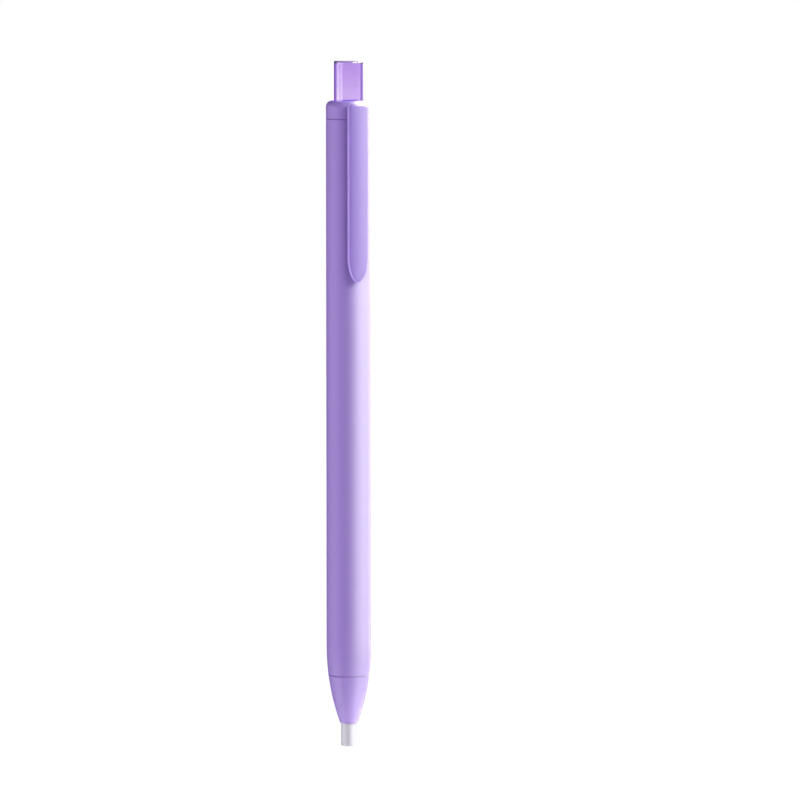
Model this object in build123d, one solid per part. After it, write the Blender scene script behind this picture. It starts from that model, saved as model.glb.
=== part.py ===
from build123d import *
import math
import os

# A push-button eraser pen. Lengths are in millimetres and angles in degrees.
# +Z runs up the pen's axis from the eraser's tip, and the clip is on the -Y side.
# The pen is sized from the inside out: eraser, tube, spring, seat, bore, barrel.

# The eraser stick, and the tube that holds it
eraser_diameter = 3.4
eraser_length = 117.0
eraser_show = 4.9  # how far the eraser stands out of the nose
eraser_end_round = 0.12
tube_clearance = 0.25  # around the eraser
tube_wall = 0.55
tube_spare = 15.25  # tube left empty above a new eraser

# Clearances and stops shared by several pieces
press_clearance = 0.02  # between pieces pushed together
slide_clearance = 0.08  # between pieces that slide or turn on each other
guide_clearance = 0.15  # between the barrel's bore and what only steadies in it
stop_gap = 0.05  # left where two end faces stop each other
cut_overrun = 1.0  # how far a cut runs past the face it opens

# The push button and its stroke
button_stroke = 3.5
button_show = 8.35
button_wall = 0.53
button_roof = 0.5
button_round = 0.35
button_flange = 1.15  # height of the ring that keeps it in the pen
button_grip = 4.6  # how far the tube goes into it
roof_draft_share = 0.9  # the button's bore narrows to this share at its roof

# The three-prong chuck
prong_count = 3
prong_arc = 104.0  # angle that one prong covers
prong_first = -90.0  # direction of the first prong, below the clip
prong_open = 1.5  # angle that a prong opens by at full stroke
prong_length = 11.8
prong_neck_wall = 0.4
prong_gap = 0.3  # left below the prongs at full stroke
grip_clearance = 0.05  # around the eraser
grip_length = 3.8
tooth_pitch = 0.8
tooth_depth = 0.14
head_rise = 0.35  # how far the prongs' heads stand out of their necks
head_bevel = 0.5
head_length = 1.5
cone_length = 3.0
chuck_sleeve = 8.95  # from the prongs to the spring's upper seat
chuck_floor = 0.6  # under the tube's end
chuck_flange = 1.2
chuck_socket = 4.4
chuck_socket_wall = 0.6

# The ring that closes the chuck
ring_seat_share = 0.45  # where the ring sits on the heads' cone
ring_gap = 0.03
ring_height = 2.2
ring_wall = 0.65
ring_travel = 1.2
ring_edge = 0.12

# The return spring and its seat
wire_diameter = 0.4
spring_clearance = 0.25  # on each side of the wire
spring_coils = 8
seat_wall = 0.43
seat_floor = 0.8
seat_cup = 2.85
seat_sleeve = 2.5  # the part that reaches into the nose

# The nose
nose_length = 10.3  # the part that shows, below its seam
taper_rise = 6.0  # how far the nose's curve climbs past the seam
tip_clearance = 0.1
tip_lip = 0.12  # the nose's end face
tip_round = 0.05
tip_bore = 2.4
retainer_wall = 0.5
retainer_height = 2.0
retainer_round = 0.3
chamber_step = 0.4  # seat wall standing above the retainer
chamber_slope = 0.7
chamber_clearance = 0.05
spigot_bevel = 0.25
seam_round = 0.1

# The barrel and the collar at its top
barrel_wall = 0.9
collar_height = 3.75
collar_round = 1.25
collar_mouth = 0.15
collar_spigot = 4.0
collar_drop = 0.6  # from the barrel's top down to the tube's end

# The pocket clip
clip_length = 37.5
clip_width = 4.3
clip_thickness = 1.3
clip_gap = 0.8  # between the clip and the barrel
clip_crown = 0.3
clip_corner = 0.95
clip_tip = 5.3  # length of the rounded end
clip_edge_round = 0.3
clip_back_round = 0.12
clip_top_drop = 0.25  # below the collar's top
root_width = 2.9
root_height = 2.4
root_depth = 0.75  # how far the clip's root goes into the collar
root_drop = 0.7  # below the clip's top
root_clearance = 0.1
root_fillet = 0.5
bump_radius = 1.15
bump_gap = 0.12
bump_rise = 3.4  # above the clip's tip

# Radii, from the eraser outwards
eraser_r = eraser_diameter / 2
tube_bore_r = eraser_r + tube_clearance
tube_r = tube_bore_r + tube_wall
spring_r = tube_r + spring_clearance + wire_diameter / 2
seat_cup_r = spring_r + wire_diameter / 2 + spring_clearance
seat_r = seat_cup_r + seat_wall
bore_r = seat_r + press_clearance
barrel_r = bore_r + barrel_wall
button_r = tube_r + press_clearance + button_wall
button_bore_r = button_r + slide_clearance
flange_r = bore_r - guide_clearance
grip_r = eraser_r + grip_clearance
neck_r = tube_bore_r + prong_neck_wall
head_r = neck_r + head_rise
head_swing = prong_length * math.tan(math.radians(prong_open))
chamber_r = head_r + head_swing + chamber_clearance
ring_bore_r = head_r - head_rise * ring_seat_share + ring_gap
ring_r = ring_bore_r + ring_wall
ring_chamber_r = ring_r + slide_clearance
spigot_r = bore_r - slide_clearance
tip_bore_r = eraser_r + tip_clearance
tip_r = tip_bore_r + tip_lip
retainer_r = grip_r + retainer_wall

# Levels, from the eraser's tip upwards
nose_tip_z = eraser_show
seam_z = nose_tip_z + nose_length
taper_z = seam_z + taper_rise
retainer_z = nose_tip_z + tip_bore
chamber_z = retainer_z + retainer_height + chamber_step
prong_tip_z = chamber_z + prong_gap + button_stroke
head_z = prong_tip_z + head_bevel
cone_z = head_z + head_length
neck_z = cone_z + cone_length
prong_root_z = prong_tip_z + prong_length
ring_z = cone_z + cone_length * ring_seat_share
shoulder_z = ring_z - ring_travel - stop_gap
ring_top_z = ring_z + ring_height
seat_z = ring_top_z + stop_gap
spigot_top_z = seat_z + seat_sleeve
seat_cup_z = spigot_top_z + stop_gap
spring_z = seat_cup_z + seat_floor
chuck_z = prong_root_z + stop_gap
chuck_flange_z = chuck_z + chuck_sleeve
tube_z = chuck_flange_z + chuck_floor
tube_top_z = eraser_length + tube_spare
collar_z = tube_top_z + collar_drop
collar_top_z = collar_z + collar_height
button_z = tube_top_z - button_grip
button_top_z = collar_top_z + button_show
clip_top_z = collar_top_z - clip_top_drop
clip_tip_z = clip_top_z - clip_length
root_top_z = clip_top_z - root_drop

# The nose and the barrel's foot share one curve, tangent to the barrel at taper_z
taper_drop = barrel_r - tip_r
taper_run = taper_z - nose_tip_z
taper_curve_r = (taper_run**2 + taper_drop**2) / (2 * taper_drop)


def taper_radius(z):
    run = taper_z - z
    return barrel_r - taper_curve_r + math.sqrt(taper_curve_r**2 - run**2)


def taper_point(z):
    return (taper_radius(z), 0, z)


def taper_arc(low, high):
    return ThreePointArc(taper_point(low), taper_point((low + high) / 2), taper_point(high))


def section(points):
    return [(radius, 0, z) for radius, z in points]


def turned(points, arc=360.0):
    return revolve(make_face(Polyline(*section(points), close=True)), Axis.Z, arc)


def sleeve(inner, outer, low, high):
    return turned([(inner, low), (outer, low), (outer, high), (inner, high)])


def rims(solid, radius, z):
    # The circular edges of one radius at one level
    found = []
    for edge in solid.edges().filter_by(GeomType.CIRCLE):
        same_level = math.isclose(edge.arc_center.Z, z, abs_tol=stop_gap / 2)
        if same_level and math.isclose(edge.radius, radius, abs_tol=stop_gap / 2):
            found.append(edge)
    return found


def make_eraser_stick():
    stick = Pos(0, 0, eraser_length / 2) * Cylinder(eraser_r, eraser_length)
    return fillet(rims(stick, eraser_r, 0) + rims(stick, eraser_r, eraser_length), eraser_end_round)


def make_nose_cone():
    skin = taper_arc(nose_tip_z, seam_z)
    inside = section(
        [
            (taper_radius(seam_z), seam_z),
            (spigot_r, seam_z),
            (spigot_r, spigot_top_z),
            (ring_chamber_r, spigot_top_z),
            (ring_chamber_r, shoulder_z),
            (chamber_r, shoulder_z),
            (chamber_r, chamber_z + chamber_slope),
            (retainer_r + press_clearance, chamber_z),
            (retainer_r + press_clearance, retainer_z),
            (tip_bore_r, retainer_z),
            (tip_bore_r, nose_tip_z),
            (tip_r, nose_tip_z),
        ]
    )
    nose = revolve(make_face(skin + Polyline(*inside)), Axis.Z)
    nose = fillet(rims(nose, tip_r, nose_tip_z), tip_round)
    nose = fillet(rims(nose, taper_radius(seam_z), seam_z), seam_round)
    return chamfer(rims(nose, spigot_r, spigot_top_z), spigot_bevel)


def make_tip_retainer():
    ring = sleeve(grip_r, retainer_r, retainer_z, retainer_z + retainer_height)
    lips = rims(ring, grip_r, retainer_z) + rims(ring, grip_r, retainer_z + retainer_height)
    return fillet(lips, retainer_round)


def make_barrel():
    skin = taper_arc(seam_z, taper_z)
    inside = section(
        [
            (barrel_r, taper_z),
            (barrel_r, collar_z),
            (bore_r, collar_z),
            (bore_r, seam_z),
            (taper_radius(seam_z), seam_z),
        ]
    )
    barrel = revolve(make_face(skin + Polyline(*inside)), Axis.Z)
    ends = rims(barrel, taper_radius(seam_z), seam_z) + rims(barrel, barrel_r, collar_z)
    return fillet(ends, seam_round)


def make_top_collar():
    collar = sleeve(button_bore_r, barrel_r, collar_z, collar_top_z)
    collar += sleeve(button_bore_r, bore_r - press_clearance, collar_z - collar_spigot, collar_z)
    collar = fillet(rims(collar, barrel_r, collar_top_z), collar_round)
    collar = fillet(rims(collar, barrel_r, collar_z), seam_round)
    collar = chamfer(rims(collar, button_bore_r, collar_top_z), collar_mouth)
    # The pocket that the clip's root plugs into
    depth = root_depth + root_clearance + cut_overrun
    pocket = Box(root_width + 2 * root_clearance, depth, root_height + 2 * root_clearance)
    pocket_y = -(barrel_r - root_depth - root_clearance) - depth / 2
    return collar - Pos(0, pocket_y, root_top_z - root_height / 2) * pocket


def clip_front():
    # The clip's outline, seen from the front: straight sides and a long round end
    half = clip_width / 2
    corner_z = clip_top_z - clip_corner
    tip_z = clip_tip_z + clip_tip
    end = EllipticalCenterArc((0, tip_z), half, clip_tip, start_angle=180, arc_size=180)
    right = Line((half, tip_z), (half, corner_z))
    right_corner = RadiusArc((half, corner_z), (half - clip_corner, clip_top_z), -clip_corner)
    top = Line((half - clip_corner, clip_top_z), (clip_corner - half, clip_top_z))
    left_corner = RadiusArc((clip_corner - half, clip_top_z), (-half, corner_z), -clip_corner)
    left = Line((-half, corner_z), (-half, tip_z))
    return make_face(end + right + right_corner + top + left_corner + left)


def clip_section():
    # The clip's cross-section: flat towards the barrel, crowned outside
    half = clip_width / 2
    back = -(barrel_r + clip_gap)
    front = back - clip_thickness
    crown = ThreePointArc((-half, front + clip_crown), (0, front), (half, front + clip_crown))
    sides = Polyline((half, front + clip_crown), (half, back), (-half, back), (-half, front + clip_crown))
    return make_face(crown + sides)


def make_pocket_clip():
    back = -(barrel_r + clip_gap)
    reach = clip_gap + clip_thickness
    length = extrude(Pos(0, 0, clip_tip_z) * clip_section(), clip_length)
    outline = extrude(Plane.XZ.offset(barrel_r) * clip_front(), reach + cut_overrun)
    arm = length & outline
    front_edges = arm.faces().sort_by(Axis.Y)[0].edges()
    arm = fillet(front_edges, clip_edge_round)
    arm = fillet(arm.faces().sort_by(Axis.Y)[-1].edges(), clip_back_round)
    root_inner = -(barrel_r - root_depth)
    root_reach = root_inner - back + clip_thickness / 2
    root = Pos(0, root_inner - root_reach / 2, root_top_z - root_height / 2)
    arm += root * Box(root_width, root_reach, root_height)
    under = [
        edge
        for edge in arm.edges().filter_by(Axis.X)
        if math.isclose(edge.center().Y, back, abs_tol=stop_gap / 2)
        and math.isclose(edge.center().Z, root_top_z - root_height, abs_tol=stop_gap / 2)
    ]
    arm = fillet(under, root_fillet)
    # The round bump inside the tip, which presses on the cloth
    rise = clip_gap - bump_gap
    ball_r = (bump_radius**2 + rise**2) / (2 * rise)
    ball = Pos(0, back + rise - ball_r, clip_tip_z + bump_rise) * Sphere(ball_r)
    keep = Pos(0, back + clip_gap / 2 - clip_back_round, clip_tip_z + bump_rise)
    return arm + (ball & keep * Box(clip_width, clip_gap + 2 * clip_back_round, clip_width))


def make_push_button():
    roof_z = button_top_z - button_roof
    button = turned(
        [
            (tube_r + press_clearance, button_z),
            (flange_r, button_z),
            (flange_r, button_z + button_flange),
            (button_r, button_z + button_flange),
            (button_r, button_top_z),
            (0, button_top_z),
            (0, roof_z),
            (tube_bore_r * roof_draft_share, roof_z),
            (tube_bore_r, tube_top_z + stop_gap),
            (tube_r + press_clearance, tube_top_z + stop_gap),
        ]
    )
    return fillet(rims(button, button_r, button_top_z), button_round)


def make_eraser_tube():
    return sleeve(tube_bore_r, tube_r, tube_z, tube_top_z)


def make_chuck_body():
    socket_r = tube_r + press_clearance
    return turned(
        [
            (tube_bore_r, chuck_z),
            (tube_r, chuck_z),
            (tube_r, chuck_flange_z),
            (flange_r, chuck_flange_z),
            (flange_r, chuck_flange_z + chuck_flange),
            (socket_r + chuck_socket_wall, chuck_flange_z + chuck_flange),
            (socket_r + chuck_socket_wall, tube_z + chuck_socket),
            (socket_r, tube_z + chuck_socket),
            (socket_r, tube_z),
            (tube_bore_r, tube_z),
        ]
    )


def make_chuck_prong(direction):
    # Teeth run up the inside of the head, and the neck above it is relieved
    points = [(grip_r, prong_tip_z)]
    tooth_z = prong_tip_z + head_bevel
    while tooth_z + tooth_pitch < prong_tip_z + grip_length:
        points.append((grip_r, tooth_z))
        points.append((grip_r + tooth_depth, tooth_z))
        points.append((grip_r, tooth_z + tooth_pitch / 2))
        tooth_z += tooth_pitch
    points.append((grip_r, prong_tip_z + grip_length))
    points.append((tube_bore_r, prong_tip_z + grip_length))
    points.append((tube_bore_r, prong_root_z))
    points.append((neck_r, prong_root_z))
    points.append((neck_r, neck_z))
    points.append((head_r, cone_z))
    points.append((head_r, head_z))
    points.append((head_r - head_bevel, prong_tip_z))
    return Rot(0, 0, direction - prong_arc / 2) * turned(points, prong_arc)


def make_clutch_ring():
    ring = sleeve(ring_bore_r, ring_r, ring_z, ring_top_z)
    return chamfer(rims(ring, ring_r, ring_z) + rims(ring, ring_r, ring_top_z), ring_edge)


def make_spring_seat():
    sleeve_r = ring_chamber_r - slide_clearance
    pass_r = neck_r + head_swing / 2 + chamber_clearance
    return turned(
        [
            (pass_r, seat_z),
            (sleeve_r, seat_z),
            (sleeve_r, seat_cup_z),
            (seat_r, seat_cup_z),
            (seat_r, spring_z + seat_cup),
            (seat_cup_r, spring_z + seat_cup),
            (seat_cup_r, spring_z),
            (pass_r, spring_z),
        ]
    )


def make_return_spring():
    low = spring_z + stop_gap + wire_diameter / 2
    height = chuck_flange_z - stop_gap - wire_diameter / 2 - low
    coil = Helix(height / spring_coils, height, spring_r, center=(0, 0, low))
    wire = Plane(coil @ 0, z_dir=coil % 0) * Circle(wire_diameter / 2)
    return sweep(wire, path=coil, is_frenet=True)


pieces = {
    "barrel": make_barrel(),
    "nose_cone": make_nose_cone(),
    "tip_retainer": make_tip_retainer(),
    "top_collar": make_top_collar(),
    "pocket_clip": make_pocket_clip(),
    "push_button": make_push_button(),
    "eraser_stick": make_eraser_stick(),
    "eraser_tube": make_eraser_tube(),
    "chuck_body": make_chuck_body(),
    "clutch_ring": make_clutch_ring(),
    "spring_seat": make_spring_seat(),
    "return_spring": make_return_spring(),
}
for number in range(prong_count):
    prong_direction = prong_first + number * 360.0 / prong_count
    pieces[f"chuck_prong_{number + 1}"] = make_chuck_prong(prong_direction)

os.makedirs("parts", exist_ok=True)
for name, piece in pieces.items():
    export_step(piece, f"parts/{name}.step")
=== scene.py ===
import math

import bmesh
import bpy
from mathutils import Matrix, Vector


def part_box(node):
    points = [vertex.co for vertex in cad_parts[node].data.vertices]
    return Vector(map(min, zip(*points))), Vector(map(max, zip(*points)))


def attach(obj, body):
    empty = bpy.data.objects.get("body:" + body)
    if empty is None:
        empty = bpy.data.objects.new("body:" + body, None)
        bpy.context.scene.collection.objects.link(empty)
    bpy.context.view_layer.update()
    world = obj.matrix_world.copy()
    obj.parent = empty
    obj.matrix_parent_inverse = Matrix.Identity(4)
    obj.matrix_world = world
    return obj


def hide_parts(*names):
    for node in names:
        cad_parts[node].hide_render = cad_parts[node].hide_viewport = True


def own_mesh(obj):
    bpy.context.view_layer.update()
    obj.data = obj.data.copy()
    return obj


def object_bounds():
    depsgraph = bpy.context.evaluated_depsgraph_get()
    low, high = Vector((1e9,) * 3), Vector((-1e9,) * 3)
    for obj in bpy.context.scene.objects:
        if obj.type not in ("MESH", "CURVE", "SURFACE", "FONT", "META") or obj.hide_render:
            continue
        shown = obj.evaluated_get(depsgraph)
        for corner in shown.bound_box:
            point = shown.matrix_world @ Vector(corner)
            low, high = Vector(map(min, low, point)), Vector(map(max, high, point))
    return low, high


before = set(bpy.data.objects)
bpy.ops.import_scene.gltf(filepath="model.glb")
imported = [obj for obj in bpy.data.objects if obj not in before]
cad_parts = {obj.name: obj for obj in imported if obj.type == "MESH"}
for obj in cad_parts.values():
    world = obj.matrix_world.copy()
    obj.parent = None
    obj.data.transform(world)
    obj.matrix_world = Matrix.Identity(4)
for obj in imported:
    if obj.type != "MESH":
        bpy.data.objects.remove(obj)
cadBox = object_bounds()
print("frame loaded:", len(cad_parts), "nodes")

# Lengths are in metres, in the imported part's own frame: +Z up the pen, the clip on the -Y side.


def direction(azimuth, elevation):  # azimuth 0 is in front of the clip, positive to its right
    turn, tilt = math.radians(azimuth), math.radians(elevation)
    return Vector((math.sin(turn) * math.cos(tilt), -math.cos(turn) * math.cos(tilt), math.sin(tilt)))


def aimAt(thing, place, target):
    thing.location = place
    thing.rotation_mode = "QUATERNION"
    thing.rotation_quaternion = (target - place).to_track_quat("-Z", "Y")


def addObject(name, data):
    thing = bpy.data.objects.new(name, data)
    bpy.context.scene.collection.objects.link(thing)
    return thing


def addRectangle(name, halfWidth, halfHeight, material):
    mesh = bpy.data.meshes.new(name)
    corners = [(-halfWidth, -halfHeight, 0), (halfWidth, -halfHeight, 0)]
    corners += [(halfWidth, halfHeight, 0), (-halfWidth, halfHeight, 0)]
    mesh.from_pydata(corners, [], [(0, 1, 2, 3)])
    mesh.materials.append(material)
    return addObject(name, mesh)


def closeMesh(name, form, material):  # writes the built form into a mesh object
    mesh = bpy.data.meshes.new(name)
    form.to_mesh(mesh)
    form.free()
    mesh.materials.append(material)
    return addObject(name, mesh)


# Small helpers for shader nodes. A helper's value is a number, a colour or another node's socket.

def addNode(tree, kind, **settings):
    node = tree.nodes.new(kind)
    for key, value in settings.items():
        setattr(node, key, value)
    return node


def feed(tree, socket, value):
    if isinstance(value, bpy.types.NodeSocket):
        tree.links.new(value, socket)
    else:
        socket.default_value = value


def addMath(tree, operation, *values):
    node = addNode(tree, "ShaderNodeMath", operation=operation)
    for socket, value in zip(node.inputs, values):
        feed(tree, socket, value)
    return node.outputs["Value"]


def addRamp(tree, value, limits, results=(0.0, 1.0)):  # held at its two results beyond the limits
    node = addNode(tree, "ShaderNodeMapRange")
    feed(tree, node.inputs["Value"], value)
    for label, level in zip(("From Min", "From Max", "To Min", "To Max"), (*limits, *results)):
        feed(tree, node.inputs[label], level)
    return node.outputs["Result"]


def addBlend(tree, kind, factor, first, second):
    node = addNode(tree, "ShaderNodeMix", data_type=kind)
    for label, value in (("Factor", factor), ("A", first), ("B", second)):
        feed(tree, node.inputs[label], value)
    return node.outputs["Result"]


def blendInto(tree, label, kind, factor, value):  # lays value over what already feeds the shader
    socket = tree.nodes["Principled BSDF"].inputs[label]
    feed(tree, socket, addBlend(tree, kind, factor, socket.links[0].from_socket, value))


def addAxes(tree, label):  # X, Y and Z of the piece's own place or normal
    split = addNode(tree, "ShaderNodeSeparateXYZ")
    feed(tree, split.inputs["Vector"], addNode(tree, "ShaderNodeTexCoord").outputs[label])
    return split.outputs


def addNoise(tree, vector, size, detail):
    node = addNode(tree, "ShaderNodeTexNoise")
    for label, value in (("Vector", vector), ("Scale", size), ("Detail", detail)):
        feed(tree, node.inputs[label], value)
    return node.outputs["Fac"]


def addStretch(tree, vector, scale):
    node = addNode(tree, "ShaderNodeMapping")
    feed(tree, node.inputs["Vector"], vector)
    feed(tree, node.inputs["Scale"], scale)
    return node.outputs["Vector"]


def addTone(tree, color, value):  # the colour made lighter or darker
    node = addNode(tree, "ShaderNodeHueSaturation")
    feed(tree, node.inputs["Value"], value)
    feed(tree, node.inputs["Color"], color)
    return node.outputs["Color"]


def addSeenMask(tree):  # 1 for rays from the camera, by gloss or through clear plastic
    path = addNode(tree, "ShaderNodeLightPath").outputs
    seen = addMath(tree, "MAXIMUM", path["Is Camera Ray"], path["Is Glossy Ray"])
    return addMath(tree, "MAXIMUM", seen, path["Is Transmission Ray"])


def newGroup(name, inputs):  # inputs are (label, kind, value)
    tree = bpy.data.node_groups.new(name, "ShaderNodeTree")
    for label, kind, value in inputs:
        socket = tree.interface.new_socket(label, in_out="INPUT", socket_type=kind)
        socket.default_value = value
    for label, kind in (("Color", "Color"), ("Roughness", "Float"), ("Height", "Float")):
        tree.interface.new_socket(label, in_out="OUTPUT", socket_type="NodeSocket" + kind)
    return tree, addNode(tree, "NodeGroupInput").outputs, addNode(tree, "NodeGroupOutput").inputs


def newMaterial(name):
    material = bpy.data.materials.new(name)
    material.use_nodes = True
    return material, material.node_tree, material.node_tree.nodes["Principled BSDF"]


def dress(names, material):  # a better material in each CAD node's own slots
    for name in names:
        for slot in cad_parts[name].material_slots:
            slot.material = material


# Moulded plastic has a faint flow in its tone and a fine spark-eroded grain.
mouldedPattern = {
    "stretch": (1, 1, 0.12),  # plastic flows along the pen
    "flowDetail": 3,
    "grainDetail": 2,
    "middle": 0.5,  # of the noise, so that it changes a value up and down alike
}


def makeMouldedGroup(pattern):
    tree, given, result = newGroup(
        "mouldedSkin",
        [
            ("Color", "NodeSocketColor", (0.5, 0.5, 0.5, 1)),
            ("Tone Change", "NodeSocketFloat", 0.03),
            ("Roughness", "NodeSocketFloat", 0.4),
            ("Roughness Change", "NodeSocketFloat", 0.04),
            ("Flow Size", "NodeSocketFloat", 160.0),
            ("Grain Size", "NodeSocketFloat", 9000.0),
        ],
    )
    place = addNode(tree, "ShaderNodeTexCoord").outputs["Object"]
    stretched = addStretch(tree, place, pattern["stretch"])
    flow = addNoise(tree, stretched, given["Flow Size"], pattern["flowDetail"])
    grain = addNoise(tree, place, given["Grain Size"], pattern["grainDetail"])
    flowChange = addMath(tree, "SUBTRACT", flow, pattern["middle"])
    grainChange = addMath(tree, "SUBTRACT", grain, pattern["middle"])
    light = addMath(tree, "MULTIPLY_ADD", flowChange, given["Tone Change"], 1.0)
    rough = addMath(tree, "MULTIPLY_ADD", grainChange, given["Roughness Change"], given["Roughness"])
    feed(tree, result["Color"], addTone(tree, given["Color"], light))
    feed(tree, result["Roughness"], rough)
    feed(tree, result["Height"], grain)
    return tree


# Turned or drawn metal has fine rings across the pen's axis.
turnedPattern = {"stretch": (0.05, 0.05, 1), "ringDetail": 2, "shades": (0.85, 1.1)}


def makeTurnedGroup(pattern):
    tree, given, result = newGroup(
        "turnedMetal",
        [
            ("Color", "NodeSocketColor", (0.6, 0.6, 0.6, 1)),
            ("Roughness", "NodeSocketFloat", 0.25),
            ("Ring Size", "NodeSocketFloat", 9000.0),
        ],
    )
    place = addNode(tree, "ShaderNodeTexCoord").outputs["Object"]
    stretched = addStretch(tree, place, pattern["stretch"])
    rings = addNoise(tree, stretched, given["Ring Size"], pattern["ringDetail"])
    shade = addRamp(tree, rings, (0.0, 1.0), pattern["shades"])
    feed(tree, result["Color"], addTone(tree, given["Color"], shade))
    feed(tree, result["Roughness"], addMath(tree, "MULTIPLY", shade, given["Roughness"]))
    feed(tree, result["Height"], rings)
    return tree


mouldedSkin = makeMouldedGroup(mouldedPattern)
turnedMetal = makeTurnedGroup(turnedPattern)
print("shared effects made")

bumpStrength = 0.5


def finishMaterial(name, group, look):
    material, tree, shader = newMaterial(name)
    skin = addNode(tree, "ShaderNodeGroup", node_tree=group)
    for label, value in look["skin"].items():
        feed(tree, skin.inputs[label], value)
    bump = addNode(tree, "ShaderNodeBump")
    feed(tree, bump.inputs["Strength"], bumpStrength)
    feed(tree, bump.inputs["Distance"], look["bumpDepth"])
    feed(tree, bump.inputs["Height"], skin.outputs["Height"])
    feed(tree, shader.inputs["Base Color"], skin.outputs["Color"])
    feed(tree, shader.inputs["Roughness"], skin.outputs["Roughness"])
    feed(tree, shader.inputs["Normal"], bump.outputs["Normal"])
    for label, value in look["sockets"].items():
        feed(tree, shader.inputs[label], value)
    return material


# The lilac shell is the barrel, the nose and the collar.
shellLook = {
    "skin": {
        "Color": (0.26, 0.142, 0.55, 1),
        "Tone Change": 0.05,
        "Roughness": 0.5,
        "Roughness Change": 0.06,
        "Flow Size": 160.0,
        "Grain Size": 9000.0,
    },
    "bumpDepth": 0.000004,
    "sockets": {"IOR": 1.5},
    "seamReach": (0.00014, 0.00008),  # from no painted shade and dullness to full, on each side of a seam
    # the colour of the painted shade in the seams
    "seamShadeColor": (0.16, 0.075, 0.37, 1),
    "seamRoughness": 0.95,
}
lilacShell = finishMaterial("lilacShell", mouldedSkin, shellLook)


def paintSeamShade(material, look):  # painted shade darkens the gaps between nose, barrel and collar, and they are made duller
    tree = material.node_tree
    height = addAxes(tree, "Object")["Z"]
    masks = []
    for seam in (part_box("barrel")[0][2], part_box("barrel")[1][2]):
        away = addMath(tree, "ABSOLUTE", addMath(tree, "SUBTRACT", height, seam))
        masks.append(addRamp(tree, away, look["seamReach"]))
    both = addMath(tree, "MAXIMUM", *masks)
    # the seams' colour is darkened with painted shade, and their roughness is raised
    blendInto(tree, "Base Color", "RGBA", both, look["seamShadeColor"])
    blendInto(tree, "Roughness", "FLOAT", both, look["seamRoughness"])


paintSeamShade(lilacShell, shellLook)
dress(["barrel", "nose_cone", "top_collar"], lilacShell)

# The clip is a deeper violet.
clipLook = {
    "skin": {
        "Color": (0.271, 0.138, 0.687, 1),
        "Tone Change": 0.04,
        "Roughness": 0.4,
        "Roughness Change": 0.05,
        "Flow Size": 200.0,
        "Grain Size": 10000.0,
    },
    "bumpDepth": 0.000003,
    "sockets": {"IOR": 1.5},
    "edgeRadius": 0.0009,
    "edgeSamples": 8,
    "frontTurn": (-0.93, -0.75),  # the normal's Y where the painted edge light starts, seen from the front
    "backTurn": (0.4, 0.1),  # and where it ends
    # the colour of the painted light on the clip's edges and side walls
    "paintedEdgeLight": (0.46, 0.29, 0.86, 1),
}
violetClip = finishMaterial("violetClip", mouldedSkin, clipLook)


def bevelWithPaintedEdgeLight(material, look):  # the clip's edges are rounded over in shading, and painted light makes the edges and side walls paler
    tree = material.node_tree
    bevel = addNode(tree, "ShaderNodeBevel", samples=look["edgeSamples"])
    feed(tree, bevel.inputs["Radius"], look["edgeRadius"])
    feed(tree, tree.nodes["Bump"].inputs["Normal"], bevel.outputs["Normal"])
    turned = addAxes(tree, "Normal")["Y"]
    ramps = [addRamp(tree, turned, look[limits]) for limits in ("frontTurn", "backTurn")]
    # painted light: the edges and side walls are made paler than the clip's front
    blendInto(tree, "Base Color", "RGBA", addMath(tree, "MULTIPLY", *ramps), look["paintedEdgeLight"])


bevelWithPaintedEdgeLight(violetClip, clipLook)
dress(["pocket_clip"], violetClip)

# The button is clear violet. Its colour is tinted by height, and darkened along its outer skin.
buttonLook = {
    "skin": {"Roughness": 0.05, "Roughness Change": 0.02, "Flow Size": 300.0, "Grain Size": 3000.0},
    "bumpDepth": 0.000001,
    "sockets": {"IOR": 1.49, "Transmission Weight": 1.0},
    "absorbedColor": (0.5, 0.19, 0.857, 1),
    "absorbedDensity": 210.0,
    "highTint": (0.72, 0.558, 0.894, 1),
    "lowTint": (0.83, 0.71, 0.95, 1),
    "tintHeights": (0.1372, 0.144),
    "rimColor": (0.09, 0.008, 0.42, 1),
    "rimBlend": 0.5,
    "rimFacing": (0.37, 0.46),  # from no rim to full rim
    "rimRadius": 0.0028,  # the rim is only on the skin outside this
}
clearViolet = finishMaterial("clearViolet", mouldedSkin, buttonLook)


def absorbLight(material, look):
    tree = material.node_tree
    absorb = addNode(tree, "ShaderNodeVolumeAbsorption")
    feed(tree, absorb.inputs["Color"], look["absorbedColor"])
    feed(tree, absorb.inputs["Density"], look["absorbedDensity"])
    feed(tree, tree.nodes["Material Output"].inputs["Volume"], absorb.outputs["Volume"])


def darkenRim(material, look):  # clear plastic seen along its outer skin looks full violet
    tree = material.node_tree
    place = addAxes(tree, "Object")
    height = addRamp(tree, place["Z"], look["tintHeights"])
    tint = addBlend(tree, "RGBA", height, look["lowTint"], look["highTint"])
    flat = addNode(tree, "ShaderNodeCombineXYZ")
    feed(tree, flat.inputs["X"], place["X"])
    feed(tree, flat.inputs["Y"], place["Y"])
    radius = addNode(tree, "ShaderNodeVectorMath", operation="LENGTH")
    feed(tree, radius.inputs[0], flat.outputs["Vector"])
    outside = addMath(tree, "GREATER_THAN", radius.outputs["Value"], look["rimRadius"])
    weight = addNode(tree, "ShaderNodeLayerWeight")
    feed(tree, weight.inputs["Blend"], look["rimBlend"])
    grazing = addRamp(tree, weight.outputs["Facing"], look["rimFacing"])
    rim = addMath(tree, "MULTIPLY", grazing, outside)
    color = addBlend(tree, "RGBA", rim, tint, look["rimColor"])
    feed(tree, tree.nodes["Principled BSDF"].inputs["Base Color"], color)


absorbLight(clearViolet, buttonLook)
darkenRim(clearViolet, buttonLook)
dress(["push_button"], clearViolet)

buttonShape = {
    "radius": 0.00305,
    "flangeHeight": 0.00115,
    "boreLow": 0.00252,  # where the tube is pressed in
    "boreHigh": 0.00246,
    "tubeEnd": 0.00465,  # above the button's foot
    "roof": 0.0004,
    "topRound": 0.0003,
    "roofRound": 0.0003,
    "roundSteps": 6,
    "sides": 128,
    "sharpAngle": 35,
}


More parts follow.
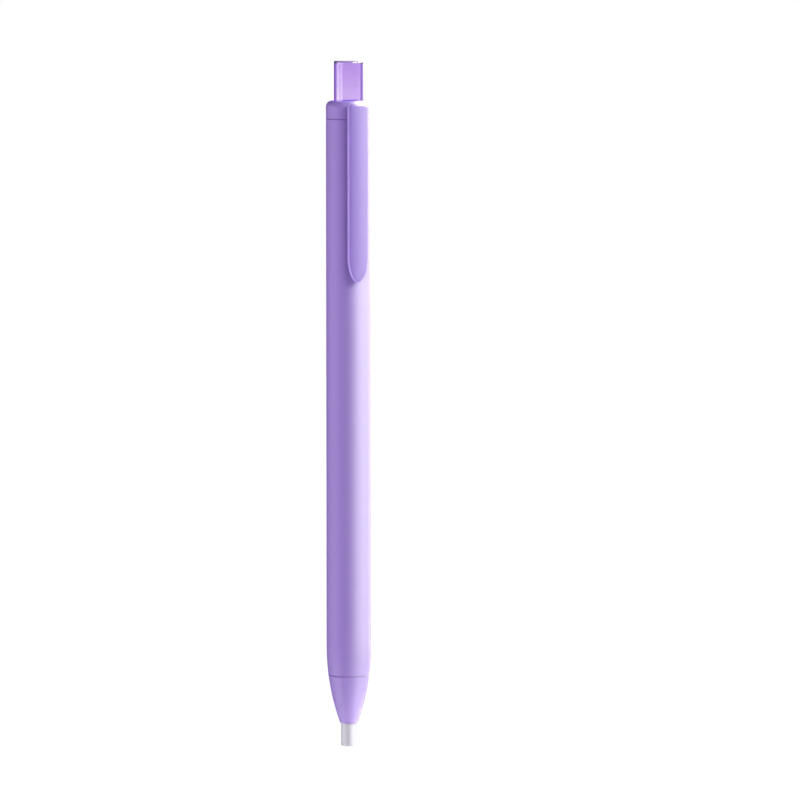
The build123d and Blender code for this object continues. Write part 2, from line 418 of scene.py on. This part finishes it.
def roundCorner(centre, radius, first, last, steps):
    points = []
    for step in range(steps + 1):
        angle = math.radians(first + (last - first) * step / steps)
        points.append((centre[0] + radius * math.cos(angle), centre[1] + radius * math.sin(angle)))
    return points


def makeButton(shape):  # the CAD button with a clean thin wall all the way up
    lowest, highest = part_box("push_button")
    bottom, top, flange = lowest[2], highest[2], highest[0]
    shoulder = bottom + shape["flangeHeight"]
    ledge = bottom + shape["tubeEnd"]
    roof = top - shape["roof"]
    outer = (shape["radius"] - shape["topRound"], top - shape["topRound"])
    inner = (shape["boreHigh"] - shape["roofRound"], roof - shape["roofRound"])
    outline = [(0.0, top)]
    outline += roundCorner(outer, shape["topRound"], 90, 0, shape["roundSteps"])
    outline += [(shape["radius"], shoulder), (flange, shoulder), (flange, bottom)]
    outline += [(shape["boreLow"], bottom), (shape["boreLow"], ledge), (shape["boreHigh"], ledge)]
    outline += roundCorner(inner, shape["roofRound"], 0, 90, shape["roundSteps"])
    outline += [(0.0, roof)]
    form = bmesh.new()
    rings = []
    for radius, level in outline:
        ring = []
        for side in range(shape["sides"] if radius else 1):
            turn = 2 * math.pi * side / shape["sides"]
            ring.append(form.verts.new((radius * math.cos(turn), radius * math.sin(turn), level)))
        rings.append(ring)
    for upper, lower in zip(rings, rings[1:]):
        for side in range(shape["sides"]):
            after = (side + 1) % shape["sides"]
            corners = [upper[side % len(upper)], lower[side % len(lower)]]
            corners += [lower[after % len(lower)], upper[after % len(upper)]]
            form.faces.new(list(dict.fromkeys(corners)))  # a fan round the axis has three corners
    bmesh.ops.recalc_face_normals(form, faces=form.faces)
    for face in form.faces:
        face.smooth = True
    for edge in form.edges:
        edge.smooth = edge.calc_face_angle() < math.radians(shape["sharpAngle"])
    button = closeMesh("clear_button", form, clearViolet)
    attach(button, "plunger")
    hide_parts("push_button")


makeButton(buttonShape)
print("button made")

# The eraser is white vinyl. Its colour is set for these lamps: white from the front, grey from behind.
eraserLook = {
    "skin": {
        "Color": (0.53, 0.505, 0.59, 1),
        "Tone Change": 0.03,
        "Roughness": 0.46,
        "Roughness Change": 0.1,
        "Flow Size": 900.0,
        "Grain Size": 14000.0,
    },
    "bumpDepth": 0.000008,
    "sockets": {"IOR": 1.65},
}
whiteEraser = finishMaterial("whiteEraser", mouldedSkin, eraserLook)
dress(["eraser_stick"], whiteEraser)

# The works inside are natural plastic, soft rubber, brass and spring steel.
worksLook = {
    "natural": {
        "skin": {
            "Color": (0.74, 0.74, 0.71, 1),
            "Tone Change": 0.05,
            "Roughness": 0.36,
            "Roughness Change": 0.08,
            "Flow Size": 260.0,
            "Grain Size": 8000.0,
        },
        "bumpDepth": 0.000003,
        "sockets": {"IOR": 1.49},
    },
    "rubber": {
        "skin": {
            "Color": (0.13, 0.13, 0.14, 1),
            "Tone Change": 0.1,
            "Roughness": 0.7,
            "Roughness Change": 0.12,
            "Flow Size": 500.0,
            "Grain Size": 12000.0,
        },
        "bumpDepth": 0.000003,
        "sockets": {"IOR": 1.45},
    },
    "brass": {
        "skin": {"Color": (0.72, 0.51, 0.2, 1), "Roughness": 0.28, "Ring Size": 12000.0},
        "bumpDepth": 0.000003,
        "sockets": {"Metallic": 1.0},
    },
    "steel": {
        "skin": {"Color": (0.56, 0.56, 0.58, 1), "Roughness": 0.3, "Ring Size": 16000.0},
        "bumpDepth": 0.000003,
        "sockets": {"Metallic": 1.0},
    },
}
naturalPlastic = finishMaterial("naturalPlastic", mouldedSkin, worksLook["natural"])
softRubber = finishMaterial("softRubber", mouldedSkin, worksLook["rubber"])
ringBrass = finishMaterial("ringBrass", turnedMetal, worksLook["brass"])
springSteel = finishMaterial("springSteel", turnedMetal, worksLook["steel"])
dress(["eraser_tube", "chuck_body", "spring_seat"], naturalPlastic)
dress(["chuck_prong_1", "chuck_prong_2", "chuck_prong_3"], naturalPlastic)
dress(["tip_retainer"], softRubber)
dress(["clutch_ring"], ringBrass)
dress(["return_spring"], springSteel)
print("materials made and given to the nodes")

# The thread on the nose's spigot is seen when the nose is unscrewed.
threadShape = {
    "pitch": 0.001,
    "turns": 5.0,
    "stepsPerTurn": 72,
    "start": 0.0009,  # above the nose's seam
    "seam": 0.0152,
    "rootRadius": 0.003765,
    "height": 0.00006,
    "halfWidth": 0.00026,
    "profile": [(-1.0, 0.0), (-0.35, 1.0), (0.35, 1.0), (1.0, 0.0)],  # shares of width and height
    "runOut": 0.12,  # share of the length over which the ridge fades at each end
}


def makeThread(shape):
    form = bmesh.new()
    steps = int(shape["turns"] * shape["stepsPerTurn"])
    rows = []
    for step in range(steps + 1):
        share = step / steps
        fade = min(1.0, share / shape["runOut"], (1 - share) / shape["runOut"])
        turn = 2 * math.pi * share * shape["turns"]
        level = shape["seam"] + shape["start"] + share * shape["turns"] * shape["pitch"]
        row = []
        for along, out in shape["profile"]:
            radius = shape["rootRadius"] + out * fade * shape["height"]
            height = level + along * shape["halfWidth"]
            row.append(form.verts.new((radius * math.cos(turn), radius * math.sin(turn), height)))
        rows.append(row)
    for low, high in zip(rows, rows[1:]):
        for side in range(len(low) - 1):
            form.faces.new((low[side], high[side], high[side + 1], low[side + 1])).smooth = True
    bmesh.ops.recalc_face_normals(form, faces=form.faces)
    thread = closeMesh("nose_thread", form, lilacShell)
    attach(thread, "nose")


makeThread(threadShape)
print("thread made")

# The return spring shortens as the button is pressed; here it is built at one length.
springShape = {"wire": 0.0004, "turns": 8, "stepsPerTurn": 48, "sides": 14, "press": 0.0035}


def makeSpring(shape):
    low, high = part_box("return_spring")
    wire = shape["wire"] / 2
    coil = high[0] - wire
    start, rise = low[2] + wire, high[2] - low[2] - shape["wire"]
    steps = shape["turns"] * shape["stepsPerTurn"]
    lead = math.atan2(rise, 2 * math.pi * coil * shape["turns"])
    form = bmesh.new()
    rows = []
    for step in range(steps + 1):
        turn = 2 * math.pi * step / shape["stepsPerTurn"]
        outward = Vector((math.cos(turn), math.sin(turn), 0))
        across = Vector((math.sin(turn) * math.sin(lead), -math.cos(turn) * math.sin(lead), math.cos(lead)))
        middle = outward * coil + Vector((0, 0, start + rise * step / steps))
        row = []
        for side in range(shape["sides"]):
            angle = 2 * math.pi * side / shape["sides"]
            row.append(form.verts.new(middle + (outward * math.cos(angle) + across * math.sin(angle)) * wire))
        rows.append(row)
    for first, second in zip(rows, rows[1:]):
        for side in range(shape["sides"]):
            after = (side + 1) % shape["sides"]
            form.faces.new((first[side], first[after], second[after], second[side])).smooth = True
    form.faces.new(rows[0])  # the cut ends of the wire
    form.faces.new(rows[-1])
    bmesh.ops.recalc_face_normals(form, faces=form.faces)
    spring = closeMesh("coil_spring", form, springSteel)
    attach(spring, "barrel")
    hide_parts("return_spring")
    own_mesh(spring)


makeSpring(springShape)
print("spring made")

# The floor lies so far down that the pen throws no shadow on it that is seen.
floorLook = {
    "level": -3.0,
    "halfSide": 30.0,
    "color": (0.8, 0.8, 0.8, 1),
    "glow": 0.75,
    "glowColor": (1, 1, 1, 1),
    "roughness": 1.0,
}


def makeFloor(look):
    material, tree, shader = newMaterial("paleFloor")
    feed(tree, shader.inputs["Base Color"], look["color"])
    feed(tree, shader.inputs["Roughness"], look["roughness"])
    feed(tree, shader.inputs["Specular IOR Level"], 0.0)
    feed(tree, shader.inputs["Emission Color"], look["glowColor"])
    feed(tree, shader.inputs["Emission Strength"], addMath(tree, "MULTIPLY", addSeenMask(tree), look["glow"]))
    floor = addRectangle("floor", look["halfSide"], look["halfSide"], material)
    floor.location.z = look["level"]


makeFloor(floorLook)

worldLook = {"ambient": (0.375, 0.375, 0.375, 1), "seen": (1, 1, 1, 1)}


def makeWorld(look):  # lights at the ambient level, and is seen as white
    world = bpy.data.worlds.new("studio")
    world.use_nodes = True
    tree = world.node_tree
    plain = tree.nodes["Background"]
    seen = addNode(tree, "ShaderNodeBackground")
    feed(tree, plain.inputs["Color"], look["ambient"])
    feed(tree, seen.inputs["Color"], look["seen"])
    mix = addNode(tree, "ShaderNodeMixShader")
    for socket, value in zip(mix.inputs, (addSeenMask(tree), plain.outputs[0], seen.outputs[0])):
        feed(tree, socket, value)
    feed(tree, tree.nodes["World Output"].inputs["Surface"], mix.outputs[0])
    bpy.context.scene.world = world


makeWorld(worldLook)

cameraLook = {
    "azimuth": -18.9,
    "pitch": 5.8,
    "distance": 1.272,
    "lens": 271.7,
    "sensor": 36.0,
    "clipRange": (0.05, 80),
    "frameSide": 800,  # pixels
    "penCentre": (348.8, 404.9),  # pixels from the frame's upper left corner
}
penMiddle = (cadBox[0] + cadBox[1]) / 2
penMiddle.x = penMiddle.y = 0


def makeCamera(look):
    data = bpy.data.cameras.new("camera")
    data.lens = look["lens"]
    data.sensor_width = look["sensor"]
    data.clip_start, data.clip_end = look["clipRange"]
    camera = addObject("camera", data)
    back = direction(look["azimuth"], look["pitch"])
    right = Vector((0, 0, 1)).cross(back).normalized()
    up = back.cross(right)
    pixel = look["distance"] * look["sensor"] / look["lens"] / look["frameSide"]
    half = look["frameSide"] / 2
    target = penMiddle + right * (half - look["penCentre"][0]) * pixel
    target += up * (look["penCentre"][1] - half) * pixel
    aimAt(camera, target + back * look["distance"], target)
    bpy.context.scene.camera = camera


makeCamera(cameraLook)

# Some lamps make the sheen and some the shade, so each can be set by itself. Azimuths are counted
# from the camera's, to its right. sheenRight is far above a plain level, for the white right edge.
lampDistance = 3.0
wattsPerRadiance = 4  # and square metre
lampLook = {
    "sheenRight": {
        "azimuths": [50, 80, 110, 140],
        "elevation": 31,
        "size": (1.4, 0.84),
        "radiance": [97.5, 298.0, 108.0, 380.0],
        "sheen": True,
    },
    "sheenLeft": {
        "azimuths": [-60, -90, -120],
        "elevation": 0,
        "size": (1.4, 2.4),
        "radiance": [2.9, 2.9, 0.6],
        "sheen": True,
    },
    "sheenLow": {
        "azimuths": [-130, -75, 40, 80, 130],
        "elevation": -38,
        "size": (1.8, 1.4),
        "radiance": [2.0, 6.0, 6.5, 11.5, 12.0],
        "sheen": True,
    },
    "sheenBelow": {
        "azimuths": [0],
        "elevation": -60,
        "size": (3.0, 2.0),
        "radiance": [6.5],
        "sheen": True,
    },
    "shadeRight": {
        "azimuths": [35, 60],
        "elevation": 31,
        "size": (1.4, 0.84),
        "radiance": [6.1, 2.8],
        "sheen": False,
    },
    "shadeLow": {
        "azimuths": [-80],
        "elevation": -35,
        "size": (1.4, 1.4),
        "radiance": [5.0],
        "sheen": False,
    },
}


def makeLamps(name, look):
    width, height = look["size"]
    for azimuth, radiance in zip(look["azimuths"], look["radiance"]):
        data = bpy.data.lights.new(name, "AREA")
        data.shape = "RECTANGLE"
        data.size = width
        data.size_y = height
        data.energy = radiance * wattsPerRadiance * width * height
        lamp = addObject(name, data)
        away = direction(cameraLook["azimuth"] + azimuth, look["elevation"])
        aimAt(lamp, penMiddle + away * lampDistance, penMiddle)
        lamp.visible_camera = False
        lamp.visible_diffuse = not look["sheen"]
        lamp.visible_glossy = look["sheen"]
        lamp.visible_transmission = False


for name, look in lampLook.items():
    makeLamps(name, look)

# A dark card behind the pen's left side, seen in gloss alone, draws the dark line at that edge.
cardLook = {"azimuth": -152, "distance": 1.5, "size": (1.3, 4.0), "color": (0.02, 0.015, 0.03, 1)}


def makeCard(look):
    material, tree, shader = newMaterial("darkCard")
    feed(tree, shader.inputs["Base Color"], look["color"])
    feed(tree, shader.inputs["Specular IOR Level"], 0.0)
    width, height = look["size"]
    card = addRectangle("dark_card", width / 2, height / 2, material)
    away = direction(cameraLook["azimuth"] + look["azimuth"], 0)
    aimAt(card, penMiddle + away * look["distance"], penMiddle)
    card.visible_camera = False
    card.visible_diffuse = False
    card.visible_transmission = False
    card.visible_shadow = False


makeCard(cardLook)
print("floor, world, camera, lamps and card made")

bpy.context.scene.view_settings.view_transform = "Standard"
